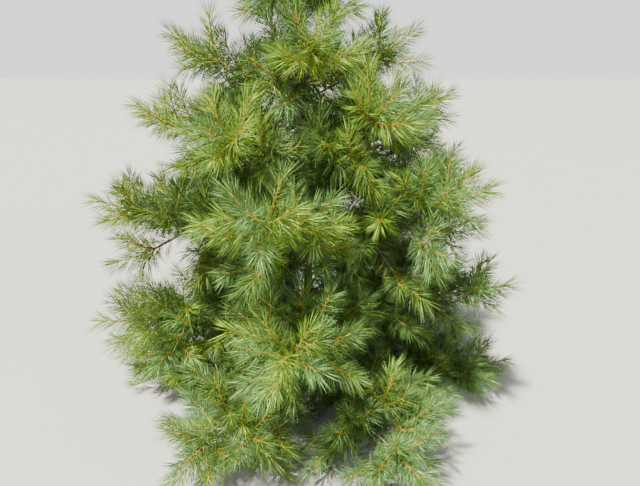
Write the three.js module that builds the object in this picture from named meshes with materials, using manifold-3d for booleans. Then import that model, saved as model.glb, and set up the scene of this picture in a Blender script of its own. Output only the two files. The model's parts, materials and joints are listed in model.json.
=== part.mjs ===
// A young soft pine, rooted in level ground: a leaning trunk, boughs in yearly rings, masses of needles.
// Millimetres, +Z up. The origin is the middle of the flat cut under the trunk.
import * as THREE from 'three';
import Module from 'manifold-3d';

const wasm = await Module();
wasm.setup();

// Trunk
const TRUNK_HEIGHT = 2085;
const TRUNK_RADIUS = 30;
const TRUNK_TIP_RADIUS = 5;
const TRUNK_TAPER = 1.15;
const FLARE_WIDTH = 13;
const FLARE_HEIGHT = 70;
const TRUNK_LEAN = 36;
const TRUNK_SWAY = 12;
const TRUNK_SIDES = 10;
const TRUNK_RINGS = 12;
const TRUNK_RING_CROWDING = 1.3;
const SWAY_ASIDE = 2;
const SWAY_BACK = 1.5;

// Yearly rings of limbs, from the lowest: azimuth of the first limb, rise at the trunk, length to the tip
const RINGS = [
  { height: 150, limbs: 6, azimuth: 0, rise: -3, length: 1000 },
  { height: 470, limbs: 5, azimuth: 54, rise: 4, length: 1000 },
  { height: 800, limbs: 6, azimuth: 18, rise: 15, length: 930 },
  { height: 1130, limbs: 6, azimuth: 8, rise: 22, length: 780 },
  { height: 1440, limbs: 4, azimuth: 12, rise: 25, length: 565 },
  { height: 1750, limbs: 4, azimuth: 62, rise: 40, length: 345 },
];
const RING_SEED = 10;
const RING_STAGGER = 14;
const AZIMUTH_SPREAD = 5;
const RISE_SPREAD = 5;
const SHORTEST_LIMB = 0.94;
const LONGEST_LIMB = 1.04;
const LIMB_UP_TURN = 0.28;
const LIMB_SIDE_TURN = 0.2;
const LIMB_SLENDERNESS = 1 / 115;
const LIMB_TAPER = 0.72;
const COLLAR_SWELL = 1.3;
const BARE_SHARE = 0.32;
const BOUGH_SIDES = 5;
const BOUGH_SEGMENTS = 3;
const TOP_RING = RINGS.length - 1;

// Side twigs of a needle mass
const TWIG_SPACING = 190;
const FEWEST_TWIGS = 2;
const MOST_TWIGS = 5;
const LAST_TWIG_SHARE = 0.86;
const TWIG_PLACE = 0.35;
const LEAST_TWIG_ROLL = 38;
const MOST_TWIG_ROLL = 104;
const TWIG_RATIO = 0.58;
const TWIG_EXTRA = 70;
const TWIG_ANGLE = 47;
const TWIG_ANGLE_SPREAD = 6;
const SHORTEST_TWIG = 0.9;
const LONGEST_TWIG = 1.06;
const TWIG_UP_TURN = 0.5;
const TWIG_RADIUS = 4.2;
const CUT_BACKS = [1, 0.85, 0.7, 0.55];

// Leader, which ends the trunk
const LEADER_LENGTH = 250;
const LEADER_TWIGS = 3;
const LEADER_TWIG_LENGTH = 145;
const LEADER_TWIG_ANGLE = 48;
const LEADER_TWIG_SHARE = 0.06;
const LEADER_TWIG_TURN = 12;

// Sprays: a slim three-sided core that bundles of needles stand out of
const NEEDLE_LENGTH = 98;
const SPRAY_LENGTH = 186;
const SPRAY_ROWS = 5;
const SPRAY_RADIUS = 5.2;
const SPRAY_TIP_RADIUS = 4;
const NEEDLE_LEAN_BACK = 54;
const NEEDLE_LEAN_FRONT = 28;
const NEEDLE_DROOP = 0.08;
const LEAN_SPREAD = 4;
const SHORTEST_NEEDLE = 0.86;
const LEAST_BARE = 0.12;
const END_TUFT = 0.8;
const CORE_SEGMENT = 230;

// Clearances
const GAP = 0.3;
const SPACE_MARGIN = 4;
const LIMB_MARGIN = 10;
const GROUND_MARGIN = 20;
const NEEDLE_SAMPLES = 8;
const ROOT_SAMPLES = 2;
const PATH_STEPS = 12;
const AXIS_SEGMENTS = 4;
const UPRIGHT = 0.9;

const UP = new THREE.Vector3(0, 0, 1);
const radians = THREE.MathUtils.degToRad;
const mix = THREE.MathUtils.lerp;

// Seeded draws: the same numbers in the same order each time
const NEEDLE_SEED = 1000;
const DRAW_RANGE = 2 ** 32;
const DRAW_FACTOR = 1664525;
const DRAW_STEP = 1013904223;
const SEED_SPREAD = 2654435761;

function seededDraws(seed) {
  let state = (seed * SEED_SPREAD) % DRAW_RANGE;
  return (low, high) => {
    state = (state * DRAW_FACTOR + DRAW_STEP) % DRAW_RANGE;
    return low + (high - low) * state / DRAW_RANGE;
  };
}

// Paths: points grown in equal steps, the heading turned a little towards the sky and aside at each
function growPath(start, heading, length, upTurn, sideTurn = 0) {
  const path = { points: [start.clone()], headings: [heading.clone()], length };
  const direction = heading.clone();
  for (let step = 0; step < PATH_STEPS; step++) {
    const next = path.points[step].clone().addScaledVector(direction, length / PATH_STEPS);
    direction.z += upTurn / PATH_STEPS;
    direction.applyAxisAngle(UP, sideTurn / PATH_STEPS).normalize();
    path.points.push(next);
    path.headings.push(direction.clone());
  }
  return path;
}

function pathAt(path, share) {
  const place = share * PATH_STEPS;
  const step = Math.min(Math.floor(place), PATH_STEPS - 1);
  return {
    point: path.points[step].clone().lerp(path.points[step + 1], place - step),
    heading: path.headings[step].clone().lerp(path.headings[step + 1], place - step).normalize(),
  };
}

// A direction that leans off a heading by an angle, rolled about it from the upper side
function leaningHeading(heading, angle, roll) {
  const upper = UP.clone().addScaledVector(heading, -heading.z).normalize();
  const aside = new THREE.Vector3().crossVectors(heading, upper);
  return heading.clone().multiplyScalar(Math.cos(angle))
    .addScaledVector(upper, Math.sin(angle) * Math.cos(roll))
    .addScaledVector(aside, Math.sin(angle) * Math.sin(roll));
}

// Trunk axis and radius at a height
function trunkAxis(height) {
  const share = height / TRUNK_HEIGHT;
  const x = -TRUNK_LEAN * share + TRUNK_SWAY * Math.sin(share * SWAY_ASIDE * Math.PI);
  const y = TRUNK_SWAY * Math.sin(share * SWAY_BACK * Math.PI);
  return new THREE.Vector3(x, y, height);
}

function trunkRadius(height) {
  const taper = Math.max(0, 1 - height / TRUNK_HEIGHT) ** TRUNK_TAPER;
  const flare = FLARE_WIDTH * Math.exp(-height / FLARE_HEIGHT);
  return TRUNK_TIP_RADIUS + (TRUNK_RADIUS - TRUNK_TIP_RADIUS) * taper + flare;
}

// A closed limb through rings of corners, each ring turned by half a corner from the last.
// needleTip may give the point of a needle bundle that stands on a face, or null for a plain face.
function limbGeometry(rings, sides, needleTip = () => null) {
  const vertices = [];
  const triangles = [];
  const addVertex = (point) => vertices.push(point) - 1;
  const across = Math.abs(rings[0].heading.z) > UPRIGHT ? new THREE.Vector3(1, 0, 0) : UP.clone();
  rings.forEach(({ point, heading, radius }, ring) => {
    across.addScaledVector(heading, -across.dot(heading)).normalize();
    const third = new THREE.Vector3().crossVectors(heading, across);
    for (let corner = 0; corner < sides; corner++) {
      const turn = 2 * Math.PI * (corner + ring / 2) / sides;
      addVertex(point.clone().addScaledVector(across, radius * Math.cos(turn))
        .addScaledVector(third, radius * Math.sin(turn)));
    }
  });
  const addFace = (a, b, c, ring) => {
    const tip = needleTip(vertices[a], vertices[b], vertices[c], ring);
    if (tip === null) {
      triangles.push(a, b, c);
      return;
    }
    const apex = addVertex(tip);
    triangles.push(a, b, apex, b, c, apex, c, a, apex);
  };
  for (let ring = 0; ring < rings.length - 1; ring++) {
    for (let corner = 0; corner < sides; corner++) {
      const a = ring * sides + corner;
      const b = ring * sides + (corner + 1) % sides;
      const c = a + sides;
      const d = b + sides;
      addFace(a, b, c, ring);
      triangles.push(b, d, c);
    }
  }
  const last = (rings.length - 1) * sides;
  const end = rings[rings.length - 1];
  for (let corner = 1; corner < sides - 1; corner++) {
    triangles.push(0, corner + 1, corner);
  }
  if (end.tip) {
    const apex = addVertex(end.tip);
    for (let corner = 0; corner < sides; corner++) {
      triangles.push(last + corner, last + (corner + 1) % sides, apex);
    }
  } else {
    for (let corner = 1; corner < sides - 1; corner++) {
      triangles.push(last, last + corner, last + corner + 1);
    }
  }
  const geometry = new THREE.BufferGeometry().setFromPoints(vertices);
  geometry.setIndex(triangles);
  return geometry;
}

// Joining and cutting
function toSolid(geometry) {
  const vertProperties = new Float32Array(geometry.getAttribute('position').array);
  const triVerts = new Uint32Array(geometry.getIndex().array);
  return new wasm.Manifold(new wasm.Mesh({ numProp: 3, vertProperties, triVerts }));
}

function toGeometry(solid) {
  const mesh = solid.getMesh();
  const geometry = new THREE.BufferGeometry();
  geometry.setAttribute('position', new THREE.BufferAttribute(new Float32Array(mesh.vertProperties), 3));
  geometry.setIndex(Array.from(mesh.triVerts));
  return geometry;
}

function largestPart(solid) {
  return solid.decompose().reduce((best, part) => (part.volume() > best.volume() ? part : best));
}

function trunkGeometry(clearance) {
  const rings = [];
  for (let ring = 0; ring <= TRUNK_RINGS; ring++) {
    const height = TRUNK_HEIGHT * (ring / TRUNK_RINGS) ** TRUNK_RING_CROWDING;
    rings.push({ point: trunkAxis(height), heading: UP, radius: trunkRadius(height) + clearance });
  }
  return limbGeometry(rings, TRUNK_SIDES);
}

// Limbs: a bough from the trunk, and the needle mass that carries it on to its tip
function growLimb(ring, place) {
  const size = RINGS[ring];
  const draw = seededDraws(ring * RING_SEED + place + 1);
  const azimuth = radians(size.azimuth + place * 360 / size.limbs + draw(-AZIMUTH_SPREAD, AZIMUTH_SPREAD));
  const rise = radians(size.rise + draw(-RISE_SPREAD, RISE_SPREAD));
  const length = size.length * draw(SHORTEST_LIMB, LONGEST_LIMB);
  const height = size.height + draw(-RING_STAGGER, RING_STAGGER);
  const heading = new THREE.Vector3(
    Math.cos(rise) * Math.cos(azimuth), Math.cos(rise) * Math.sin(azimuth), Math.sin(rise));
  return {
    name: `${ring + 1}_${place + 1}`,
    draw,
    length,
    path: growPath(trunkAxis(height), heading, length, LIMB_UP_TURN, draw(-LIMB_SIDE_TURN, LIMB_SIDE_TURN)),
    rootRadius: length * LIMB_SLENDERNESS,
    bareShare: ring === TOP_RING ? 0 : BARE_SHARE,
  };
}

function growLeader() {
  const heading = trunkAxis(TRUNK_HEIGHT).sub(trunkAxis(RINGS[TOP_RING].height)).normalize();
  return {
    name: 'leader',
    draw: seededDraws(RINGS.length * RING_SEED + 1),
    length: LEADER_LENGTH,
    path: growPath(trunkAxis(TRUNK_HEIGHT), heading, LEADER_LENGTH, 0),
    rootRadius: TRUNK_TIP_RADIUS,
    bareShare: 0,
  };
}

function limbRadius(limb, share) {
  return limb.rootRadius * (1 - LIMB_TAPER * share);
}

function pointsBetween(path, from, to) {
  const points = [];
  for (let index = 0; index <= AXIS_SEGMENTS; index++) {
    points.push(pathAt(path, mix(from, to, index / AXIS_SEGMENTS)).point);
  }
  return points;
}

const limbs = [];
RINGS.forEach((size, ring) => {
  for (let place = 0; place < size.limbs; place++) {
    limbs.push(growLimb(ring, place));
  }
});
const leader = growLeader();
const carriers = [...limbs, leader];
carriers.forEach((limb, number) => {
  limb.axis = pointsBetween(limb.path, limb.bareShare, 1);
  limb.bare = limb.bareShare > 0 ? pointsBetween(limb.path, 0, limb.bareShare) : [];
  limb.needleDraw = seededDraws(NEEDLE_SEED + number);
});

// Spaces: a point belongs to the mass whose axis is nearest to it
const nearest = new THREE.Vector3();
const stretch = new THREE.Line3();

function distanceToPoints(point, points) {
  let least = Infinity;
  for (let index = 0; index < points.length - 1; index++) {
    stretch.set(points[index], points[index + 1]).closestPointToPoint(point, true, nearest);
    least = Math.min(least, nearest.distanceTo(point));
  }
  return least;
}

function inOwnSpace(point, limb, margin) {
  if (point.z < GROUND_MARGIN) {
    return false;
  }
  const own = distanceToPoints(point, limb.axis) + 2 * margin;
  return carriers.every((other) => other === limb || distanceToPoints(point, other.axis) > own);
}

function clearOfLimbs(point) {
  const trunkGap = trunkAxis(point.z).distanceTo(point) - trunkRadius(point.z);
  if (point.z < TRUNK_HEIGHT + LIMB_MARGIN && trunkGap < LIMB_MARGIN) {
    return false;
  }
  return limbs.every((limb) => distanceToPoints(point, limb.bare) > limb.rootRadius + LIMB_MARGIN);
}

function needleFits(base, tip, limb) {
  for (let sample = ROOT_SAMPLES; sample <= NEEDLE_SAMPLES; sample++) {
    const point = base.clone().lerp(tip, sample / NEEDLE_SAMPLES);
    if (!inOwnSpace(point, limb, SPACE_MARGIN) || !clearOfLimbs(point)) {
      return false;
    }
  }
  return true;
}

// A twig: a bare three-sided core that ends in a spray of needle bundles
function twigGeometry(path, startShare, startRadius, limb) {
  const bareLength = Math.max(path.length * (1 - startShare) - SPRAY_LENGTH, path.length * LEAST_BARE);
  const sprayShare = startShare + bareLength / path.length;
  const bareSegments = Math.max(1, Math.round(bareLength / CORE_SEGMENT));
  const rings = [];
  for (let ring = 0; ring < bareSegments; ring++) {
    const along = ring / bareSegments;
    const { point, heading } = pathAt(path, mix(startShare, sprayShare, along));
    rings.push({ point, heading, radius: mix(startRadius, SPRAY_RADIUS, along) });
  }
  rings[0].point.addScaledVector(rings[0].heading, GAP);
  for (let row = 0; row <= SPRAY_ROWS; row++) {
    const along = row / SPRAY_ROWS;
    const { point, heading } = pathAt(path, mix(sprayShare, 1, along));
    rings.push({ point, heading, radius: mix(SPRAY_RADIUS, SPRAY_TIP_RADIUS, along) });
  }
  const end = rings[rings.length - 1];
  const tip = end.point.clone().addScaledVector(end.heading, NEEDLE_LENGTH * END_TUFT);
  end.tip = needleFits(end.point, tip, limb) ? tip : null;
  const needleTip = (a, b, c, ring) => {
    if (ring < bareSegments) {
      return null;
    }
    const { point, heading } = rings[ring];
    const centre = a.clone().add(b).add(c).divideScalar(3);
    const outward = centre.clone().sub(point);
    outward.addScaledVector(heading, -outward.dot(heading)).normalize();
    const lean = radians(mix(NEEDLE_LEAN_BACK, NEEDLE_LEAN_FRONT, (ring - bareSegments) / SPRAY_ROWS)
      + limb.needleDraw(-LEAN_SPREAD, LEAN_SPREAD));
    const direction = heading.clone().multiplyScalar(Math.cos(lean));
    direction.addScaledVector(outward, Math.sin(lean));
    direction.z -= NEEDLE_DROOP;
    direction.normalize();
    const reach = NEEDLE_LENGTH * limb.needleDraw(SHORTEST_NEEDLE, 1);
    const needle = centre.clone().addScaledVector(direction, reach);
    return needleFits(centre, needle, limb) ? needle : null;
  };
  return limbGeometry(rings, 3, needleTip);
}

// Side twigs of a limb, each cut back until it keeps to the mass's own space
function sideTwigs(limb) {
  const { draw, path } = limb;
  const count = THREE.MathUtils.clamp(Math.round(limb.length / TWIG_SPACING), FEWEST_TWIGS, MOST_TWIGS);
  const firstSide = draw(0, 1) < 0.5 ? -1 : 1;
  const twigs = [];
  for (let number = 0; number < count; number++) {
    const share = mix(limb.bareShare, LAST_TWIG_SHARE, (number + TWIG_PLACE) / count);
    const side = number % 2 === 0 ? firstSide : -firstSide;
    const roll = radians(side * draw(LEAST_TWIG_ROLL, MOST_TWIG_ROLL));
    const angle = radians(TWIG_ANGLE + draw(-TWIG_ANGLE_SPREAD, TWIG_ANGLE_SPREAD));
    const length = (TWIG_RATIO * limb.length * (1 - share) + TWIG_EXTRA)
      * draw(SHORTEST_TWIG, LONGEST_TWIG);
    const { point, heading } = pathAt(path, share);
    twigs.push(cutBack(limb, point, leaningHeading(heading, angle, roll), length));
  }
  return twigs.filter((twig) => twig !== null);
}

function leaderTwigs(limb) {
  const { point, heading } = pathAt(limb.path, LEADER_TWIG_SHARE);
  const twigs = [];
  for (let number = 0; number < LEADER_TWIGS; number++) {
    const roll = radians(number * 360 / LEADER_TWIGS + limb.draw(-LEADER_TWIG_TURN, LEADER_TWIG_TURN));
    const direction = leaningHeading(heading, radians(LEADER_TWIG_ANGLE), roll);
    const length = LEADER_TWIG_LENGTH * limb.draw(SHORTEST_TWIG, LONGEST_TWIG);
    twigs.push(cutBack(limb, point, direction, length));
  }
  return twigs.filter((twig) => twig !== null);
}

function cutBack(limb, start, heading, length) {
  for (const share of CUT_BACKS) {
    const path = growPath(start, heading, length * share, TWIG_UP_TURN);
    const outer = path.points.slice(Math.ceil(PATH_STEPS / 3));
    if (outer.every((point) => inOwnSpace(point, limb, 3 * SPACE_MARGIN) && clearOfLimbs(point))) {
      return path;
    }
  }
  return null;
}

// Solids
const clearedTrunk = toSolid(trunkGeometry(GAP));

function boughSolid(limb) {
  const rings = [];
  for (let ring = 0; ring <= BOUGH_SEGMENTS; ring++) {
    const share = limb.bareShare * ring / BOUGH_SEGMENTS;
    const swell = ring === 0 ? COLLAR_SWELL : 1;
    rings.push({ ...pathAt(limb.path, share), radius: limbRadius(limb, share) * swell });
  }
  return largestPart(toSolid(limbGeometry(rings, BOUGH_SIDES)).subtract(clearedTrunk));
}

function needleSolid(limb) {
  const stem = toSolid(twigGeometry(limb.path, limb.bareShare, limbRadius(limb, limb.bareShare), limb));
  const twigs = limb === leader ? leaderTwigs(limb) : sideTwigs(limb);
  const joined = twigs.reduce(
    (solid, path) => solid.add(toSolid(twigGeometry(path, 0, TWIG_RADIUS, limb))), stem);
  return largestPart(joined.subtract(clearedTrunk));
}

// Meshes: each stands at the root of its own limb
const BARK_COLOR = 0x8b8276;
const NEEDLE_COLOR = 0x5d8c3a;

function addMesh(group, name, geometry, color, root) {
  const material = new THREE.MeshStandardMaterial({ color, roughness: 0.75, metalness: 0 });
  geometry.translate(-root.x, -root.y, -root.z);
  const mesh = new THREE.Mesh(geometry, material);
  mesh.name = name;
  mesh.position.copy(root);
  group.add(mesh);
}

const tree = new THREE.Group();
addMesh(tree, 'trunk', trunkGeometry(0), BARK_COLOR, new THREE.Vector3());
limbs.filter((limb) => limb.bareShare > 0).forEach((limb) => {
  addMesh(tree, `bough_${limb.name}`, toGeometry(boughSolid(limb)), BARK_COLOR, limb.path.points[0]);
});
carriers.forEach((limb) => {
  addMesh(tree, `needles_${limb.name}`, toGeometry(needleSolid(limb)), NEEDLE_COLOR, limb.axis[0]);
});

export default tree;
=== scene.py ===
"""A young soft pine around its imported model: bark, twigs, buds and needles, on a plain pale stage."""
import json
import math
from collections import namedtuple
from dataclasses import dataclass

import bpy
import numpy as np
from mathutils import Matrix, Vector

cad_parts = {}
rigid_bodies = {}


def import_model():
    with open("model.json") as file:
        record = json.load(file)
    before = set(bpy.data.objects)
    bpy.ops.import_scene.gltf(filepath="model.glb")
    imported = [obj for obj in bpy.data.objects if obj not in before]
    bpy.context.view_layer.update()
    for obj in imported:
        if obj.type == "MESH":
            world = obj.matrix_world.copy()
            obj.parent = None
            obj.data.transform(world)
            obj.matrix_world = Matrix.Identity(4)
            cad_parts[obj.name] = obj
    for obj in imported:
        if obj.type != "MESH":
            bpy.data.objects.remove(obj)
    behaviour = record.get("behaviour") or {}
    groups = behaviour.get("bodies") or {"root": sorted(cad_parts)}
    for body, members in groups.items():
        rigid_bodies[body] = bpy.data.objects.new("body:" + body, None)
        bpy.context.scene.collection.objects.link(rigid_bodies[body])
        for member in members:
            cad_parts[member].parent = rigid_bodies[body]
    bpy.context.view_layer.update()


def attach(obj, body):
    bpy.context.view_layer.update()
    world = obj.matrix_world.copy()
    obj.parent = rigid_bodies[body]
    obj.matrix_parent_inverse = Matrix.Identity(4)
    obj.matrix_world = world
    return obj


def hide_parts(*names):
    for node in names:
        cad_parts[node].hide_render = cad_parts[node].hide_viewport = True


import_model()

bl_info = {
    "name": "Young Soft Pine",
    "version": (1, 0, 0),
    "blender": (4, 5, 0),
    "location": "View3D > Sidebar > Pine",
    "description": "Builds the bark, twigs, buds and needles of a young soft pine",
    "category": "Object",
}

# Trunk, in metres, as in the source
TRUNK_HEIGHT = 2.085
TRUNK_RADIUS = 0.030
TRUNK_TIP_RADIUS = 0.005
TRUNK_TAPER = 1.15
FLARE_WIDTH = 0.013
FLARE_HEIGHT = 0.070
TRUNK_LEAN = 0.036
TRUNK_SWAY = 0.012
SWAY_ASIDE = 2
SWAY_BACK = 1.5

# Yearly rings of limbs: height, limbs, azimuth of the first, rise at the trunk, length to the tip
RINGS = (
    (0.150, 6, 0, -3, 1.000),
    (0.470, 5, 54, 4, 1.000),
    (0.800, 6, 18, 15, 0.930),
    (1.130, 6, 8, 22, 0.780),
    (1.440, 4, 12, 25, 0.565),
    (1.750, 4, 62, 40, 0.345),
)
TOP_RING = len(RINGS) - 1
RING_SEED = 10
RING_STAGGER = 0.014
AZIMUTH_SPREAD = 5
RISE_SPREAD = 5
LIMB_SHARES = (0.94, 1.04)
LIMB_UP_TURN = 0.28
LIMB_SIDE_TURN = 0.2
LIMB_SLENDERNESS = 1 / 115
LIMB_TAPER = 0.72
BARE_SHARE = 0.32

# Side twigs
TWIG_SPACING = 0.190
TWIG_COUNTS = (2, 5)
LAST_TWIG_SHARE = 0.86
TWIG_PLACE = 0.35
TWIG_ROLLS = (38, 104)
TWIG_RATIO = 0.58
TWIG_EXTRA = 0.070
TWIG_ANGLE = 47
TWIG_ANGLE_SPREAD = 6
TWIG_SHARES = (0.9, 1.06)
TWIG_UP_TURN = 0.5
CUT_BACKS = (1, 0.85, 0.7, 0.55)
LEADER_LENGTH = 0.250
LEADER_TWIGS = 3
LEADER_TWIG_LENGTH = 0.145
LEADER_TWIG_ANGLE = 48
LEADER_TWIG_SHARE = 0.06
LEADER_TWIG_TURN = 12

# Clearances of the source's rule, tested from a third of the way along a path
SPACE_MARGIN = 0.004
TWIG_MARGIN = 3 * SPACE_MARGIN
LIMB_MARGIN = 0.010
GROUND_MARGIN = 0.020
PATH_STEPS = 12
FIRST_TESTED = PATH_STEPS // 3
AXIS_SEGMENTS = 4

# Finer growth within the same reach: side twigs of each order at the end of each year's growth
YEAR_LENGTH = 0.190
YEAR_SHARES = (0.9, 1.1)
FIRST_YEAR_SHARES = (0.85, 1.05)
WHORLS = (
    # fewest, most, share of the length still to come, and angle from the stem
    (4, 5, 0.74, 48),
    (2, 3, 0.64, 43),
    (2, 2, 0.55, 40),
)
FEWEST_CHANCE = 0.6
WHORL_TURN = 20
CHILD_TURN = 25
CHILD_EXTRA = 0.035
CHILD_SHARES = (0.8, 1.1)
CHILD_ANGLE_SPREAD = 9
CHILD_UP_TURN = 0.55
REACH_SHARE = 1.25
INNERMOST_NODE = 0.86
INNER_ANGLE = 24
INNER_NODES = 0.5
INNER_EXTRA = 2
SHORTEST_SHOOT = 0.085
FINE_CUT_BACK = 0.78
FINE_SEED = 500
TWIG_THICKENING = 2.2

# Tints of needles, dealt out by spray
TINTS = ("sunlit", "fresh", "bluish", "deep", "old", "dead", "pale", "silvery", "golden")
SUNLIT, FRESH, BLUISH, DEEP, OLD, DEAD, PAINTED_HIGHLIGHT, SILVERY, GOLDEN = range(len(TINTS))

# The tints of a needle's outer foot, outer tip and back, for each tint of spray. The paler tips of the
# sunlit, blue-green and deep sprays are painted highlight (on the blue-green ones partly their own pale
# bloom), and the darker backs of the green sprays, which face the bundle's middle, are painted shade; the
# golden feet and the old and dead tints are the needles' own colours
NEEDLE_TINTS = (
    (GOLDEN, PAINTED_HIGHLIGHT, FRESH),
    (SUNLIT, FRESH, DEEP),
    (FRESH, SILVERY, BLUISH),
    (DEEP, FRESH, DEEP),
    (OLD, OLD, FRESH),
    (DEAD, DEAD, OLD),
)
PARTS_OF_NEEDLE = 3

DRAW_RANGE = 2 ** 32
DRAW_FACTOR = 1664525
DRAW_STEP = 1013904223
SEED_SPREAD = 2654435761
UP = np.array((0.0, 0.0, 1.0))
GOLDEN_ANGLE = math.pi * (3 - math.sqrt(5))


# Settings

def length_setting(name, description, default):
    return bpy.props.FloatProperty(name=name, description=description, default=default, unit="LENGTH")


def colour_setting(name, description, *default):
    return bpy.props.FloatVectorProperty(name=name, description=description, default=default, subtype="COLOR")


class PineSizes(bpy.types.PropertyGroup):
    """Sizes of the fine parts"""
    needle_length: length_setting("Needle length", "Length of the longest needles", 0.106)
    needle_width: length_setting("Needle width", "Width of a needle at its middle", 0.0026)
    needle_droop: length_setting("Needle droop", "How far a needle's tip hangs below a straight one", 0.012)
    bundle_spacing: length_setting("Bundle spacing", "Distance between bundles along a shoot", 0.0060)
    shoot_radius: length_setting("Shoot radius", "Radius of this year's shoots", 0.0026)
    bud_length: length_setting("Bud length", "Length of the end bud of a shoot", 0.012)
    bark_relief: length_setting("Bark relief", "Depth of the cracks and ridges of the bark", 0.0012)


class PineColours(bpy.types.PropertyGroup):
    """Colours of the bark, shoots, buds and needles"""
    bark_pale: colour_setting("Pale bark", "Weathered skin of the bark", 0.300, 0.265, 0.215)
    bark_dark: colour_setting("Dark bark", "Cracks and damp patches of the bark", 0.085, 0.070, 0.053)
    shoot: colour_setting("Shoot", "Skin of this year's shoots", 0.350, 0.260, 0.030)
    sheath: colour_setting("Sheath", "Foot of each needle bundle", 0.560, 0.470, 0.025)
    bud: colour_setting("Bud", "Scales of the buds", 0.150, 0.070, 0.025)
    # Painted sunlight: the yellow-green of sprays on the key light's side, dealt out more to the left and
    # high up
    sunlit: colour_setting("Sunlit needles", "Yellow-green needles", 0.205, 0.340, 0.022)
    fresh: colour_setting("Fresh needles", "Mid green needles", 0.120, 0.230, 0.032)
    bluish: colour_setting("Bluish needles", "Blue-green needles", 0.085, 0.185, 0.055)
    deep: colour_setting("Deep needles", "Needles in the crown's shade", 0.055, 0.108, 0.023)
    old: colour_setting("Old needles", "Last year's olive needles", 0.140, 0.140, 0.028)
    dead: colour_setting("Dead needles", "Dry red-brown needles", 0.200, 0.080, 0.022)
    # Painted highlight: paler tips of the yellow-green sprays, standing for sunlight glinting on them
    pale: colour_setting("Pale tips", "Needle tips that the sun has bleached", 0.365, 0.570, 0.050)
    # Partly the blue-green needles' own pale bloom, partly painted highlight on their tips
    silvery: colour_setting("Silvery tips", "Tips of the blue-green needles", 0.260, 0.450, 0.120)
    golden: colour_setting("Golden feet", "Feet of the yellow-green needles", 0.330, 0.400, 0.022)


class PineStage(bpy.types.PropertyGroup):
    """The photograph's view and the plain stage"""
    eye_height: length_setting("Eye height", "Height of the camera", 1.6)
    eye_distance: length_setting("Eye distance", "Level distance from the camera to the trunk", 2.18)
    eye_aside: length_setting("Eye aside", "How far right of the trunk the camera stands", 0.06)
    tilt: bpy.props.FloatProperty(
        name="Tilt", description="Angle of the view below level", default=math.radians(20.2),
        subtype="ANGLE")
    lens: bpy.props.FloatProperty(
        name="Lens", description="Focal length in millimetres", default=27.17)
    floor: colour_setting("Floor", "Colour of the floor", 0.48, 0.47, 0.445)


# Seeded growth, the source's rule in metres

class Draws:
    """The same numbers in the same order each time"""

    def __init__(self, seed):
        self.state = seed * SEED_SPREAD % DRAW_RANGE

    def __call__(self, low, high):
        self.state = (self.state * DRAW_FACTOR + DRAW_STEP) % DRAW_RANGE
        return low + (high - low) * self.state / DRAW_RANGE

    def within(self, spread):
        return self(-spread, spread)


@dataclass
class Path:
    """Points and headings grown in equal steps"""
    points: list
    headings: list
    length: float

    def at(self, share):
        place = share * PATH_STEPS
        step = min(int(place), PATH_STEPS - 1)
        blend = place - step
        point = self.points[step] * (1 - blend) + self.points[step + 1] * blend
        heading = self.headings[step] * (1 - blend) + self.headings[step + 1] * blend
        return point, unit(heading)


@dataclass
class Limb:
    """A bough and the mass of needles that carries it on"""
    name: str
    draw: Draws
    path: Path
    root_radius: float
    bare_share: float
    number: int = 0
    reach: float = 0.0
    twigs: tuple = ()


def unit(vector):
    return vector / math.sqrt(vector @ vector)


def mix(low, high, share):
    return low + (high - low) * share


def grow_path(start, heading, length, up_turn, side_turn=0.0):
    points = [start]
    headings = [heading]
    turn = side_turn / PATH_STEPS
    for _ in range(PATH_STEPS):
        points.append(points[-1] + headings[-1] * length / PATH_STEPS)
        x, y, z = headings[-1]
        turned = (x * math.cos(turn) - y * math.sin(turn), x * math.sin(turn) + y * math.cos(turn),
                  z + up_turn / PATH_STEPS)
        headings.append(unit(np.array(turned)))
    return Path(points, headings, length)


def leaning_heading(heading, angle, roll):
    upper = unit(UP - heading * heading[2])
    aside = np.cross(heading, upper)
    across = upper * math.cos(roll) + aside * math.sin(roll)
    return heading * math.cos(angle) + across * math.sin(angle)


def trunk_axis(height):
    share = height / TRUNK_HEIGHT
    return np.array((
        -TRUNK_LEAN * share + TRUNK_SWAY * math.sin(share * SWAY_ASIDE * math.pi),
        TRUNK_SWAY * math.sin(share * SWAY_BACK * math.pi),
        height,
    ))


def trunk_radius(height):
    taper = max(0.0, 1 - height / TRUNK_HEIGHT) ** TRUNK_TAPER
    flare = FLARE_WIDTH * math.exp(-height / FLARE_HEIGHT)
    return TRUNK_TIP_RADIUS + (TRUNK_RADIUS - TRUNK_TIP_RADIUS) * taper + flare


def grow_limb(ring, place):
    ring_height, limbs_in_ring, first_azimuth, ring_rise, ring_length = RINGS[ring]
    draw = Draws(ring * RING_SEED + place + 1)
    turn = first_azimuth + place * 360 / limbs_in_ring
    azimuth = math.radians(turn + draw.within(AZIMUTH_SPREAD))
    rise = math.radians(ring_rise + draw.within(RISE_SPREAD))
    length = ring_length * draw(*LIMB_SHARES)
    height = ring_height + draw.within(RING_STAGGER)
    heading = np.array((
        math.cos(rise) * math.cos(azimuth), math.cos(rise) * math.sin(azimuth), math.sin(rise)))
    side_turn = draw.within(LIMB_SIDE_TURN)
    path = grow_path(trunk_axis(height), heading, length, LIMB_UP_TURN, side_turn)
    bare_share = 0 if ring == TOP_RING else BARE_SHARE
    return Limb(f"{ring + 1}_{place + 1}", draw, path, length * LIMB_SLENDERNESS, bare_share)


def grow_leader():
    heading = unit(trunk_axis(TRUNK_HEIGHT) - trunk_axis(RINGS[TOP_RING][0]))
    path = grow_path(trunk_axis(TRUNK_HEIGHT), heading, LEADER_LENGTH, 0)
    return Limb("leader", Draws(len(RINGS) * RING_SEED + 1), path, TRUNK_TIP_RADIUS, 0)


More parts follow.
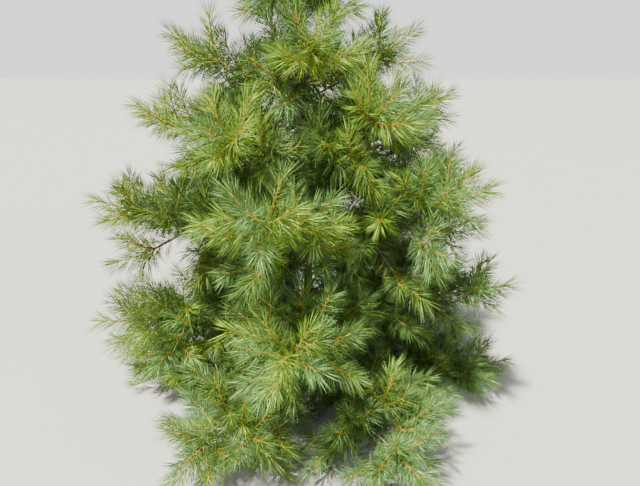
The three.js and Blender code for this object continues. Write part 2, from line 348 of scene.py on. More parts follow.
def straight_lines(stretches):
    """Starts and spans of the straight lines that stand for stretches of paths"""
    shares = [index / AXIS_SEGMENTS for index in range(AXIS_SEGMENTS + 1)]
    points = np.array([[path.at(mix(start, end, share))[0] for share in shares]
                       for path, start, end in stretches])
    return points[:, :-1], np.diff(points, axis=1)


class Crown:
    """All limbs, and the rule that keeps each mass to its own space"""

    def __init__(self):
        self.limbs = [grow_limb(ring, place) for ring, size in enumerate(RINGS) for place in range(size[1])]
        self.leader = grow_leader()
        self.carriers = self.limbs + [self.leader]
        self.boughs = [limb for limb in self.limbs if limb.bare_share > 0]
        self.axes = straight_lines([(limb.path, limb.bare_share, 1) for limb in self.carriers])
        self.bare = straight_lines([(limb.path, 0, limb.bare_share) for limb in self.boughs])
        self.bare_radii = np.array([limb.root_radius for limb in self.boughs])
        for number, limb in enumerate(self.carriers):
            limb.number = number
        for limb in self.carriers:
            limb.twigs = self.leader_twigs() if limb is self.leader else self.side_twigs(limb)
            tips = [twig.points[-1] for twig in limb.twigs]
            limb.reach = max([self.axis_distances(tip)[limb.number] for tip in tips] + [YEAR_LENGTH / 2])

    @staticmethod
    def distances(point, starts, spans):
        """Distance from a point to each row of joined stretches"""
        offset = point - starts
        along = np.clip((offset * spans).sum(-1) / (spans * spans).sum(-1), 0, 1)
        return np.sqrt(((offset - spans * along[..., None]) ** 2).sum(-1)).min(-1)

    def axis_distances(self, point):
        return self.distances(point, *self.axes)

    def clear(self, point, limb, margin):
        """Whether a point is above the ground, in the mass's own space and clear of trunk and boughs"""
        distances = self.axis_distances(point)
        own = distances[limb.number] + 2 * margin
        distances[limb.number] = math.inf
        if point[2] < GROUND_MARGIN or distances.min() <= own:
            return False
        trunk_gap = math.dist(trunk_axis(point[2]), point) - trunk_radius(point[2])
        if point[2] < TRUNK_HEIGHT + LIMB_MARGIN and trunk_gap < LIMB_MARGIN:
            return False
        return (self.distances(point, *self.bare) - self.bare_radii).min() > LIMB_MARGIN

    def fits(self, limb, path, margin):
        """Whether the outer part of a path is clear"""
        return all(self.clear(point, limb, margin) for point in path.points[FIRST_TESTED:])

    def add_cut_back(self, twigs, limb, start, heading, length):
        """A twig's path, cut back until it is clear, or left out"""
        for share in CUT_BACKS:
            path = grow_path(start, heading, length * share, TWIG_UP_TURN)
            if self.fits(limb, path, TWIG_MARGIN):
                twigs.append(path)
                return

    def fine_path(self, limb, start, heading, length):
        """A finer twig's path, which also keeps near the limb's own reach"""
        while length > SHORTEST_SHOOT:
            path = grow_path(start, heading, length, CHILD_UP_TURN)
            near = self.axis_distances(path.points[-1])[limb.number] < limb.reach * REACH_SHARE
            if near and self.fits(limb, path, SPACE_MARGIN):
                return path
            length *= FINE_CUT_BACK
        return None

    def side_twigs(self, limb):
        draw = limb.draw
        count = int(np.clip(math.floor(limb.path.length / TWIG_SPACING + 0.5), *TWIG_COUNTS))
        first_side = -1 if draw(0, 1) < 0.5 else 1
        twigs = []
        for number in range(count):
            share = mix(limb.bare_share, LAST_TWIG_SHARE, (number + TWIG_PLACE) / count)
            side = first_side if number % 2 == 0 else -first_side
            roll = math.radians(side * draw(*TWIG_ROLLS))
            angle = math.radians(TWIG_ANGLE + draw.within(TWIG_ANGLE_SPREAD))
            length = TWIG_RATIO * limb.path.length * (1 - share) + TWIG_EXTRA
            length *= draw(*TWIG_SHARES)
            point, heading = limb.path.at(share)
            self.add_cut_back(twigs, limb, point, leaning_heading(heading, angle, roll), length)
        return twigs

    def leader_twigs(self):
        limb = self.leader
        point, heading = limb.path.at(LEADER_TWIG_SHARE)
        twigs = []
        for number in range(LEADER_TWIGS):
            roll = math.radians(number * 360 / LEADER_TWIGS + limb.draw.within(LEADER_TWIG_TURN))
            direction = leaning_heading(heading, math.radians(LEADER_TWIG_ANGLE), roll)
            length = LEADER_TWIG_LENGTH * limb.draw(*TWIG_SHARES)
            self.add_cut_back(twigs, limb, point, direction, length)
        return twigs


# Finer twigs and shoots

@dataclass
class Twig:
    """One twig of a mass: its path, the share of it at which the twig starts, and its order"""
    limb: Limb
    path: Path
    start_share: float
    order: int

    @property
    def length(self):
        return self.path.length * (1 - self.start_share)


class Growth:
    """The crown and its twigs, grown once for all operators"""
    crown = None
    twigs = []


def twig_radius(distance, shoot_radius):
    """Radius of a twig at a distance from its tip"""
    return shoot_radius * (1 + TWIG_THICKENING * max(0.0, distance - YEAR_LENGTH / 2) / YEAR_LENGTH)


def add_twigs(crown, twigs, twig, draw):
    """A twig, then its side twigs at the end of each year's length, by the same rule"""
    twigs.append(twig)
    if twig.order == len(WHORLS):
        return
    path = twig.path
    fewest, most, ratio, mean_angle = WHORLS[twig.order]
    distance = YEAR_LENGTH * draw(*FIRST_YEAR_SHARES)
    roll = draw(0, 360)
    while distance < path.length * INNERMOST_NODE:
        point, heading = path.at(1 - distance / path.length)
        count = fewest if draw(0, 1) < FEWEST_CHANCE else most
        if twig.order == 0 and distance > path.length * INNER_NODES:
            count += INNER_EXTRA
        for number in range(count):
            turn = math.radians(roll + number * 360 / count + draw.within(CHILD_TURN))
            inner = INNER_ANGLE * distance / path.length if twig.order == 0 else 0
            angle = math.radians(mean_angle + inner + draw.within(CHILD_ANGLE_SPREAD))
            length = (ratio * distance + CHILD_EXTRA) * draw(*CHILD_SHARES)
            child = crown.fine_path(twig.limb, point, leaning_heading(heading, angle, turn), length)
            if child:
                add_twigs(crown, twigs, Twig(twig.limb, child, 0, twig.order + 1), draw)
        roll += 180 / count + draw.within(WHORL_TURN)
        distance += YEAR_LENGTH * draw(*YEAR_SHARES)


def grow_twigs(crown):
    """Every twig of every mass"""
    twigs = []
    for limb in crown.carriers:
        draw = Draws(FINE_SEED + limb.number)
        add_twigs(crown, twigs, Twig(limb, limb.path, limb.bare_share, 0), draw)
        for path in limb.twigs:
            add_twigs(crown, twigs, Twig(limb, path, 0, 1), draw)
    return twigs


# Meshes and objects

STEEP = 0.9


class MeshParts:
    """Vertices and faces of many closed parts, joined into one mesh"""

    def __init__(self):
        self.vertices = []
        self.faces = []
        self.count = 0

    def add(self, vertices, faces):
        self.vertices.append(np.asarray(vertices))
        self.faces.extend([tuple(corner + self.count for corner in face) for face in faces])
        self.count += len(vertices)

    def mesh(self, name, flat=False):
        mesh = bpy.data.meshes.new(name)
        mesh.from_pydata(np.concatenate(self.vertices).tolist(), [], self.faces, shade_flat=flat)
        mesh.update()
        return mesh

    def add_piece(self, name, material, nodes=()):
        mesh = self.mesh(name)
        mesh.materials.append(MATERIALS[material])
        add_piece(mesh, name, nodes)


def tube_faces(rings, sides):
    """Faces of a closed tube: its wall, then its two ends"""
    faces = []
    for ring in range(rings - 1):
        for side in range(sides):
            low = ring * sides + side
            next_low = ring * sides + (side + 1) % sides
            faces.append((low, next_low, next_low + sides, low + sides))
    last = (rings - 1) * sides
    faces.append(tuple(reversed(range(sides))))
    faces.append(tuple(range(last, last + sides)))
    return faces


def tube(points, headings, radii, sides, relief=None):
    """A closed tube through points; relief gives what to add to the radius at (ring, turn)"""
    across = np.array((1.0, 0.0, 0.0)) if abs(headings[0][2]) > STEEP else UP
    turns = 2 * math.pi * np.arange(sides) / sides
    vertices = []
    for ring, (point, heading, radius) in enumerate(zip(points, headings, radii)):
        across = unit(across - heading * (across @ heading))
        third = np.cross(heading, across)
        reach = radius + (relief(ring, turns) if relief else 0)
        reach = np.broadcast_to(reach, turns.shape)[:, None]
        vertices.append(point + reach * (np.cos(turns)[:, None] * across + np.sin(turns)[:, None] * third))
    return np.concatenate(vertices), tube_faces(len(points), sides)


def tube_along(path, shares, radii, sides, relief=None):
    points, headings = zip(*(path.at(share) for share in shares))
    return tube(points, headings, radii, sides, relief)


def set_attribute(mesh, name, kind, values, domain="POINT"):
    field = "vector" if kind == "FLOAT_VECTOR" else "value"
    mesh.attributes.new(name, kind, domain).data.foreach_set(field, values)


def add_object(name, data):
    made = bpy.data.objects.new(name, data)
    bpy.context.scene.collection.objects.link(made)
    return made


def add_piece(mesh, name, nodes=()):
    """A finished piece on the tree's one body"""
    piece = add_object(name, mesh)
    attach(piece, "root")
    if nodes:
        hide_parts(*nodes)


# Node trees

SPIRAL_SPREAD = 0.35
SMALLEST_BUNDLE = 0.86

# Bundles that stand lower than this lean up from the ground, by this much for each metre
LOW_HEIGHT = 0.100
LOW_LIFT = 8.0


class Net:
    """A node tree, with a short way to add a node and join it"""

    def __init__(self, tree):
        self.tree = tree

    def node(self, kind, inputs=None, **settings):
        made = self.tree.nodes.new(kind)
        for key, value in settings.items():
            setattr(made, key, value)
        for key, value in (inputs or {}).items():
            if isinstance(value, bpy.types.NodeSocket):
                self.tree.links.new(value, made.inputs[key])
            else:
                made.inputs[key].default_value = value
        return made

    def output(self, kind, inputs=None, place=0, **settings):
        """One output of a new node, the first where no place is given"""
        return self.node(kind, inputs, **settings).outputs[place]

    def math(self, operation, first, second=0.0):
        return self.output("ShaderNodeMath", {0: first, 1: second}, operation=operation)

    def add(self, first, second):
        return self.math("ADD", first, second)

    def times(self, first, second):
        return self.math("MULTIPLY", first, second)

    def scaled(self, vector, factor):
        return self.output("ShaderNodeVectorMath", {0: vector, "Scale": factor}, operation="SCALE")

    def lookup(self, index, values):
        """The value at an index of a list of whole numbers"""
        made = self.node("GeometryNodeIndexSwitch", data_type="INT")
        while len(made.index_switch_items) < len(values):
            made.index_switch_items.new()
        for number, value in enumerate(values):
            made.inputs[number + 1].default_value = value
        self.tree.links.new(index, made.inputs[0])
        return made.outputs[0]

    def attribute(self, name, kind="FLOAT"):
        return self.output("GeometryNodeInputNamedAttribute", {"Name": name}, data_type=kind)


def new_net(name, kind, inputs, outputs):
    """A new node tree with named sockets, each with its kind"""
    tree = bpy.data.node_groups.new(name, kind)
    for in_out, sockets in (("INPUT", inputs), ("OUTPUT", outputs)):
        for socket, socket_kind in sockets.items():
            tree.interface.new_socket(socket, in_out=in_out, socket_type=f"NodeSocket{socket_kind}")
    return Net(tree)


def finish_tree(net, geometry, chosen_materials):
    """Set Material for each choice of faces, then the tree's output"""
    for chosen, material in chosen_materials:
        geometry = net.output("GeometryNodeSetMaterial", {
            "Geometry": geometry, "Selection": chosen, "Material": material})
    net.node("NodeGroupOutput", {"Geometry": geometry})
    return net.tree


def tint_choices(net, tints):
    """For each tint, which faces take it, by their spray's tint and their part of the needle"""
    if tints == 1:
        return [True]
    row = net.times(net.attribute("tint", "INT"), PARTS_OF_NEEDLE)
    place = net.add(row, net.attribute("part", "INT"))
    tint = net.lookup(place, [number for row_of_tints in NEEDLE_TINTS for number in row_of_tints])
    return [net.output("FunctionNodeCompare", {2: tint, 3: number}, data_type="INT", operation="EQUAL")
            for number in range(tints)]


def spray_tree(materials):
    """Geometry Nodes that stand shapes along shoots in a golden spiral, leaning forward and drooping"""
    net = new_net("Needle sprays", "GeometryNodeTree", {
        "Geometry": "Geometry", "Shapes": "Collection", "Spacing": "Float", "Droop": "Float",
        "Lean spread": "Float", "Seed": "Int"}, {"Geometry": "Geometry"})
    sockets = net.node("NodeGroupInput").outputs

    def random(number, inputs, place=1, **settings):
        """A random value by the tree's seed and a number of its own"""
        seed = net.add(sockets["Seed"], number)
        return net.output("FunctionNodeRandomValue", {**inputs, "Seed": seed}, place, **settings)

    curve = net.output("GeometryNodeMeshToCurve", {"Mesh": sockets["Geometry"]})
    along = net.node(
        "GeometryNodeCurveToPoints", {"Curve": curve, "Length": sockets["Spacing"]}, mode="LENGTH").outputs
    spiral = net.times(net.output("GeometryNodeInputIndex"), GOLDEN_ANGLE)
    turn = net.add(spiral, random(1, {2: -SPIRAL_SPREAD, 3: SPIRAL_SPREAD}))
    outward = net.output("ShaderNodeVectorRotate", {
        "Vector": along["Normal"], "Axis": along["Tangent"], "Angle": turn}, rotation_type="AXIS_ANGLE")
    wander = net.times(random(2, {2: -1, 3: 1}), sockets["Lean spread"])
    lean = net.add(net.attribute("lean"), wander)
    forward = net.scaled(along["Tangent"], net.math("COSINE", lean))
    sideways = net.scaled(outward, net.math("SINE", lean))
    direction = net.output("ShaderNodeVectorMath", {0: forward, 1: sideways}, operation="ADD")
    apart = net.node("ShaderNodeSeparateXYZ", {0: direction}).outputs
    height = net.output("ShaderNodeSeparateXYZ", {0: net.output("GeometryNodeInputPosition")}, "Z")
    least = net.times(net.math("SUBTRACT", LOW_HEIGHT, height), LOW_LIFT)
    lifted = net.output("ShaderNodeCombineXYZ", {
        "X": apart["X"], "Y": apart["Y"], "Z": net.math("MAXIMUM", apart["Z"], least)})
    aligned = net.output("FunctionNodeAlignRotationToVector", {"Vector": lifted}, axis="Z")
    spin = net.output("FunctionNodeAxisAngleToRotation", {
        "Axis": (0, 0, 1), "Angle": random(3, {2: 0, 3: 2 * math.pi})})
    rotation = net.output("FunctionNodeRotateRotation", {
        "Rotation": aligned, "Rotate By": spin}, rotation_space="LOCAL")
    kept = random(4, {"Probability": net.attribute("fullness")}, 3, data_type="BOOLEAN")
    pick = random(5, {4: 0, 5: BUNDLE_SHAPES - 1}, 2, data_type="INT")
    size = net.times(random(6, {2: SMALLEST_BUNDLE, 3: 1.0}), net.attribute("size"))
    shapes = net.output("GeometryNodeCollectionInfo", {
        "Collection": sockets["Shapes"], "Separate Children": True, "Reset Children": True})
    bundles = net.output("GeometryNodeInstanceOnPoints", {
        "Points": along["Points"], "Selection": kept, "Instance": shapes, "Pick Instance": True,
        "Instance Index": pick, "Rotation": rotation, "Scale": size})
    real = net.output("GeometryNodeRealizeInstances", {"Geometry": bundles})
    sag = net.times(net.attribute("along"), sockets["Droop"])
    fall = net.output("ShaderNodeCombineXYZ", {"Z": net.times(sag, -1)})
    hanging = net.output("GeometryNodeSetPosition", {"Geometry": real, "Offset": fall})
    return finish_tree(net, hanging, zip(tint_choices(net, len(materials)), materials))


def bud_tree(material):
    """Geometry Nodes that stand one shape on each point, along its heading"""
    net = new_net("Shoot buds", "GeometryNodeTree", {
        "Geometry": "Geometry", "Shapes": "Collection", "Size spread": "Float", "Seed": "Int"},
        {"Geometry": "Geometry"})
    sockets = net.node("NodeGroupInput").outputs
    points = net.output("GeometryNodeMeshToPoints", {"Mesh": sockets["Geometry"]})
    heading = net.attribute("heading", "FLOAT_VECTOR")
    aligned = net.output("FunctionNodeAlignRotationToVector", {"Vector": heading}, axis="Z")
    least = net.math("SUBTRACT", 1.0, sockets["Size spread"])
    size = net.output("FunctionNodeRandomValue", {2: least, 3: 1.0, "Seed": sockets["Seed"]}, 1)
    shapes = net.output("GeometryNodeCollectionInfo", {"Collection": sockets["Shapes"]})
    buds = net.output("GeometryNodeInstanceOnPoints", {
        "Points": points, "Instance": shapes, "Rotation": aligned, "Scale": size})
    real = net.output("GeometryNodeRealizeInstances", {"Geometry": buds})
    return finish_tree(net, real, [(True, material)])


def run_tree(source, tree, values):
    """The mesh that a Geometry Nodes tree makes of a source mesh, with its inputs set by name"""
    base = add_object("source", source)
    modifier = base.modifiers.new(tree.name, "NODES")
    modifier.node_group = tree
    for item in tree.interface.items_tree:
        if item.in_out == "INPUT" and item.name in values:
            modifier[item.identifier] = values[item.name]
    bpy.context.view_layer.update()
    evaluated = base.evaluated_get(bpy.context.evaluated_depsgraph_get())
    mesh = bpy.data.meshes.new_from_object(evaluated)
    base.modifiers.remove(modifier)
    bpy.data.objects.remove(base)
    bpy.data.meshes.remove(source)
    for name in ("along", "lean", "size", "fullness", "tint", "part", "heading"):
        if name in mesh.attributes:
            mesh.attributes.remove(mesh.attributes[name])
    return mesh


# Shapes that repeat

BUNDLE_SHAPES = 5
BUNDLE_SEED = 900
NEEDLES_IN_BUNDLE = 5
NEEDLE_SPLAY = (2, 12)
NEEDLE_TURN = 0.3
NEEDLE_SHARES = (0.88, 1.0)
NEEDLE_BOW = (0.5, 1.1)
MIDDLE_SHARE = 0.48

# Faces of a needle by its foot, two middle corners and tip, and the part that each face is
NEEDLE_FACES = ((0, 2, 1), (3, 1, 2), (0, 1, 3), (0, 3, 2))
FACE_PARTS = (0, 1, 2, 2)

SHEATH_SHARE = 0.2
SHEATH_TURNS = (0, 2.094, 4.189)
SHEATH_FACES = ((2, 1, 0), (0, 1, 3), (1, 2, 3), (2, 0, 3))
BUD_HEIGHTS = (-0.2, 0.3, 1.0)
BUD_WIDTHS = (0.12, 0.21, 0.02)
BUD_SIDES = 4
BUD_SIZE_SPREAD = 0.25
BUD_SEED = 77


def bundle_mesh(sizes, number):
    """Five needles from one foot, each a slim closed blade with its back to the bundle's middle"""
    draw = Draws(BUNDLE_SEED + number)
    parts = MeshParts()
    for needle in range(NEEDLES_IN_BUNDLE):
        splay = math.radians(draw(*NEEDLE_SPLAY))
        turn = 2 * math.pi * (needle + draw.within(NEEDLE_TURN)) / NEEDLES_IN_BUNDLE
        length = sizes.needle_length * draw(*NEEDLE_SHARES)
        outward = np.array((math.cos(turn), math.sin(turn), 0.0))
        side = np.array((-math.sin(turn), math.cos(turn), 0.0))
        heading = UP * math.cos(splay) + outward * math.sin(splay)
        middle = heading * length * MIDDLE_SHARE + outward * sizes.needle_width * draw(*NEEDLE_BOW)
        half = side * sizes.needle_width / 2
        parts.add([np.zeros(3), middle - half, middle + half, heading * length], NEEDLE_FACES)
    mesh = parts.mesh(f"bundle_{number}", flat=True)
    set_attribute(mesh, "along", "FLOAT", (0, MIDDLE_SHARE, MIDDLE_SHARE, 1) * NEEDLES_IN_BUNDLE)
    set_attribute(mesh, "part", "INT", FACE_PARTS * NEEDLES_IN_BUNDLE, "FACE")
    return mesh


def sheath_mesh(sizes):
    """The short pointed foot of a bundle"""
    radius = sizes.needle_width
    length = sizes.needle_length * SHEATH_SHARE
    foot = [(radius * math.cos(turn), radius * math.sin(turn), 0) for turn in SHEATH_TURNS]
    parts = MeshParts()
    parts.add(foot + [(0, 0, length)], SHEATH_FACES)
    mesh = parts.mesh("sheath")
    set_attribute(mesh, "along", "FLOAT", (0, 0, 0, SHEATH_SHARE))
    return mesh


def bud_mesh(length):
    """A pointed bud, widest low down"""
    points = [UP * length * height for height in BUD_HEIGHTS]
    parts = MeshParts()
    parts.add(*tube(points, [UP] * len(points), [length * width for width in BUD_WIDTHS], BUD_SIDES))
    return parts.mesh("bud")


def shape_collection(name, meshes, material):
    collection = bpy.data.collections.new(name)
    for mesh in meshes:
        mesh.materials.append(material)
        collection.objects.link(bpy.data.objects.new(mesh.name, mesh))
    return collection


def remove_collection(collection):
    for item in list(collection.objects):
        mesh = item.data
        bpy.data.objects.remove(item)
        bpy.data.meshes.remove(mesh)
    bpy.data.collections.remove(collection)


# Stretches of twigs, boughs and trunk that needles stand on

# Lean from the twig in degrees and size of needle, each at the start and the end of a stretch
NEW_NEEDLES = ((60, 26), (0.92, 1.0))
OLDER_NEEDLES = ((68, 58), (0.8, 0.92))
BOUGH_NEEDLES = ((74, 64), (0.85, 0.95))
TRUNK_NEEDLES = ((72, 52), (0.85, 0.95))
LEAN_CURVE = 1.5
STRETCH_STEPS = 6

# Older needles: the years of growth that they stand on and the share kept, by the twig's order
OLDER_YEARS = (2.4, 2.4, 1.5, 1.5)
OLDER_FULLNESS = (0.75, 0.72, 0.48, 0.48)
SHORTEST_OLDER = 0.03
OLD_SHARE = 0.20
DEAD_SHARE = 0.05

# Boughs have needles from the first height up, and green ones from the second; below that they take the deep
# tint as painted shade low in the crown
YOUNG_HEIGHT = 0.60
GREEN_HEIGHT = 1.30
BARE_FOOT = 0.15

# The tints of the needles on each length of the trunk, from the top, deeper further down as painted shade
# inside the crown
TRUNK_TINTS = ((FRESH, DEEP), (DEEP, FRESH), (DEEP,), (DEEP,), (DEEP,))

# How far out along its limb a spray's tip has to be for each tint; sprays nearer the trunk take the deep tint
# as painted shade inside the crown
LEAST_REACH = 0.05
OPENNESS_SPREAD = 0.22
DEEP_OPENNESS = 0.55
MIXED_OPENNESS = 0.72
MIXED_CHANCE = 0.5

# Chance of yellow, how much more of it for each metre to the left and up, and chance of green; the extra
# yellow-green on the left and high up is painted sunlight from the key light's side, leaving more blue-green
# to the right and low down as painted shade
YELLOW_CHANCE = 0.32
YELLOW_LEFT = 0.34
YELLOW_RISE = 0.16
YELLOW_HEIGHT = 0.9
GREEN_CHANCE = 0.30

LEAN_SPREAD = 0.12
NEEDLE_SEED = 3000
MOST_SEEDS = 1e6
MOST_BUNDLES = 9500

Stretch = namedtuple("Stretch", "path start end leans sizes tint fullness sheathed", defaults=(1.0, False))


def bundles_on(stretch, spacing):
    """About how many bundles a stretch takes"""
    return int(stretch.path.length * (stretch.end - stretch.start) / spacing * stretch.fullness) + 1


def stretch_mesh(stretches, sheaths=False):
    """Stretches as a mesh of edges, with the lean, size, share kept and tint of the shapes on them"""
    points = []
    edges = []
    values = {"lean": [], "size": [], "fullness": [], "tint": []}
    for stretch in stretches:
        for step in range(STRETCH_STEPS + 1):
            share = step / STRETCH_STEPS
            if step:
                edges.append((len(points) - 1, len(points)))
            points.append(tuple(stretch.path.at(mix(stretch.start, stretch.end, share))[0]))
            values["lean"].append(math.radians(mix(*stretch.leans, share ** LEAN_CURVE)))
            values["size"].append(mix(*stretch.sizes, share))
            values["fullness"].append(float(stretch.sheathed) if sheaths else stretch.fullness)
            values["tint"].append(stretch.tint)
    mesh = bpy.data.meshes.new("stretches")
    mesh.from_pydata(points, edges, [])
    for name, numbers in values.items():
        set_attribute(mesh, name, "INT" if name == "tint" else "FLOAT", numbers)
    return mesh


def distance_out(point):
    """Level distance of a point from the trunk's axis"""
    return math.dist(point[:2], trunk_axis(min(point[2], TRUNK_HEIGHT))[:2])


def deal_tint(twig, draw):
    """A tint for a spray: brighter high up and on the free side, with more yellow-green to the left as
    painted sunlight from the key light's side, and deeper inside the crown as painted shade
    """
    tip = twig.path.points[-1]
    full = distance_out(twig.limb.path.points[-1])
    openness = min(1.0, distance_out(tip) / max(full, LEAST_REACH)) + draw.within(OPENNESS_SPREAD)
    if openness < DEEP_OPENNESS:
        return DEEP
    if openness < MIXED_OPENNESS:
        return FRESH if draw(0, 1) < MIXED_CHANCE else DEEP
    # Painted sunlight: more yellow-green to the left and up, on the key light's side
    yellow = YELLOW_CHANCE - YELLOW_LEFT * tip[0] + YELLOW_RISE * (tip[2] - YELLOW_HEIGHT)
    choice = draw(0, 1)
    if choice < yellow:
        return SUNLIT
    return FRESH if choice < yellow + GREEN_CHANCE else BLUISH


def twig_stretches(twig, draw):
    """This year's needles on the end of a twig, and older ones behind them"""
    path = twig.path
    tint = deal_tint(twig, draw)
    year = min(YEAR_LENGTH * draw(*YEAR_SHARES), twig.length)
    start = 1 - year / path.length
    stretches = [Stretch(path, start, 1, *NEW_NEEDLES, tint, sheathed=tint != DEEP)]
    older = min(twig.length - year, YEAR_LENGTH * OLDER_YEARS[twig.order])
    if older > SHORTEST_OLDER:
        choice = draw(0, 1)
        # The older needles take the deep or fresh tint, partly the darker green of their age, partly painted
        # shade within the spray; the old and dead tints are their own colours
        past = DEEP if tint in (DEEP, FRESH) else FRESH
        if choice < OLD_SHARE:
            past = DEAD if choice < DEAD_SHARE else OLD
        back = start - older / path.length
        stretches.append(Stretch(path, back, start, *OLDER_NEEDLES, past, OLDER_FULLNESS[twig.order]))
    return stretches


def bough_stretches(limb):
    """Old needles on the inner length of a young bough"""
    height = limb.path.points[0][2]
    if not limb.bare_share or height <= YOUNG_HEIGHT:
        return []
    tint = FRESH if height > GREEN_HEIGHT else DEEP
    return [Stretch(limb.path, limb.bare_share * BARE_FOOT, limb.bare_share, *BOUGH_NEEDLES, tint)]


def trunk_stretches():
    """Older needles on lengths of the trunk under the leader, deeper in colour further down as painted shade
    inside the crown
    """
    stretches = []
    length = TRUNK_HEIGHT - RINGS[TOP_RING][0]
    for number, tints in enumerate(TRUNK_TINTS):
        foot = TRUNK_HEIGHT - length * (number + 1)
        points = [trunk_axis(foot + length * index / PATH_STEPS) for index in range(PATH_STEPS + 1)]
        path = Path(points, [UP] * len(points), length)
        stretches += [Stretch(path, 0, 1, *TRUNK_NEEDLES, tint) for tint in tints]
    return stretches


def needle_batches(spacing):
    """Masses in order with their stretches, in batches that stay under the size of one piece"""
    batches = [([], [])]
    for limb in Growth.crown.carriers:
        draw = Draws(NEEDLE_SEED + limb.number)
        own = []
        for twig in Growth.twigs:
            if twig.limb is limb:
                own += twig_stretches(twig, Draws(int(draw(1, MOST_SEEDS))))
        if sum(bundles_on(stretch, spacing) for stretch in batches[-1][1] + own) > MOST_BUNDLES:
            batches.append(([], []))
        limbs, stretches = batches[-1]
        limbs.append(limb)
        stretches += own + bough_stretches(limb)
    batches[-1][1].extend(trunk_stretches())
    return batches


# Bark's relief

# The trunk's mesh, and waves in its bark for each turn or metre, each with how it wanders
TRUNK_RINGS = 420
TRUNK_SIDES = 56
RING_CURVE = 1.1
RIDGES = 7
RIDGE_WANDER = 9
RIDGE_WAVES = 21
CRACKS = 160
CRACK_WANDER = 5
CRACK_WAVES = 3
BANDS = 410
BAND_WANDER = 3
BAND_WAVES = 2
BAND_DEPTH = 0.35
PATCHES = 5
PATCH_TWIST = 33
PATCH_MEAN = 0.35
PATCH_CHANGE = 0.3

# Swellings at the boughs' feet, in radii of the bough, and the buttresses of the trunk's foot
SWELL_REACH = 5
SWELL_WIDTH = 1.3
SWELL_HEIGHT = 1.6
SWELL_DEPTH = 0.45
BUTTRESSES = 5
BUTTRESS_TURN = 0.6
BUTTRESS_DEPTH = 0.12
BUTTRESS_HEIGHT = 0.05

# The boughs' meshes end within the last year's length; their collars, ripples and knots
BOUGH_SEED = 2000
BOUGH_SIDES = 10
BOUGH_STEP = 0.007
BOUGH_END = 0.8
COLLAR_DEPTH = 0.35
COLLAR_LENGTH = 0.045
PHASES = (0, 6)
RIPPLES = 4
RIPPLE_TWIST = 60
RIPPLE_WAVES = 190
RIPPLE_DEPTH = 0.05
KNOTS = 38
KNOT_SHARPNESS = 12
KNOT_DEPTH = 0.10

# Twigs: length of a step, taper of the tip, and overlap of older and newer growth as a share
TWIG_SIDES = 4
TWIG_STEP = 0.045
TIP_TAPER = 0.8
OVERLAP = 0.01
LEAST_OLDER = 1.02


def trunk_relief(heights, depth):
    """What ridges, bands, swellings and buttresses add to the trunk's radius at (ring, turn)"""
    boughs = [(limb.path.points[0][2], math.atan2(limb.path.headings[0][1], limb.path.headings[0][0]),
               limb.root_radius) for limb in Growth.crown.limbs]

    def relief(ring, turns):
        height = heights[ring]
        width = trunk_radius(height)
        cracks = np.sin(height * CRACKS + CRACK_WANDER * np.cos(CRACK_WAVES * turns))
        ridges = np.sin(RIDGES * turns + RIDGE_WANDER * math.sin(height * RIDGE_WAVES)) * cracks
        patches = PATCH_MEAN + PATCH_CHANGE * np.cos(PATCHES * turns + height * PATCH_TWIST)
        bands = np.sin(height * BANDS + BAND_WANDER * np.sin(BAND_WAVES * turns)) * patches
        added = depth * ((1 - height / TRUNK_HEIGHT) * ridges + BAND_DEPTH * bands)
        for bough_height, azimuth, radius in boughs:
            rise = height - bough_height
            if abs(rise) < SWELL_REACH * radius:
                gap = (turns - azimuth + math.pi) % (2 * math.pi) - math.pi
                around = np.exp(-(gap * width / (SWELL_WIDTH * radius)) ** 2)
                above = math.exp(-(rise / (SWELL_HEIGHT * radius)) ** 2)
                added = added + SWELL_DEPTH * radius * around * above
        foot = BUTTRESS_DEPTH * width * math.exp(-height / BUTTRESS_HEIGHT)
        return added + foot * np.cos(BUTTRESSES * turns + BUTTRESS_TURN)

    return relief


def bough_relief(radii, phase):
    """What ripples and knots add to a bough's radius at (ring, turn)"""

    def relief(ring, turns):
        along = ring * BOUGH_STEP
        ripple = np.sin(RIPPLES * turns + phase + RIPPLE_TWIST * along)
        ripple *= math.sin(along * RIPPLE_WAVES + phase)
        knots = max(0.0, math.sin(along * KNOTS + phase)) ** KNOT_SHARPNESS
        return radii[ring] * (RIPPLE_DEPTH * ripple + KNOT_DEPTH * knots)

    return relief


def twig_tube(path, start, end, shoot_radius):
    """One closed length of a twig, tapered to its tip"""
    count = max(2, round(path.length * (end - start) / TWIG_STEP))
    shares = [mix(start, end, index / count) for index in range(count + 1)]
    radii = [twig_radius(path.length * (1 - share), shoot_radius) for share in shares]
    radii[-1] *= TIP_TAPER
    return tube_along(path, shares, radii, TWIG_SIDES)


# Materials

MATERIALS = {}

# Detail and roughness of the two noises, share of patches in the mask, and its start and end
PATCH_NOISE = (4.0, 0.6)
GRAIN_NOISE = (3.0, 0.65)
PATCH_SHARE = 0.65
MASK_START = 0.38
MASK_END = 0.62

# Scales of patches and grain, stretch up the tree, roughness, the bump's strength and depth, gloss
Surface = namedtuple("Surface", "patches grain stretch roughness bump depth gloss")
BARK_SURFACE = Surface(9, 240, 0.45, 0.85, 0.5, 0.0015, 0.5)
NEEDLE_SURFACE = Surface(14, 60, 1, 0.45, 0.1, 0.0002, 0.3)
NEEDLE_SHADES = (1.15, 0.8)

# Surface, and brightness of the darker patches
SKINS = {
    "shoot": (Surface(30, 500, 1, 0.6, 0.3, 0.0005, 0.5), 0.55),
    "sheath": (Surface(20, 400, 1, 0.55, 0.2, 0.0003, 0.5), 0.7),
    "bud": (Surface(40, 700, 1, 0.5, 0.4, 0.0004, 0.5), 0.5),
}


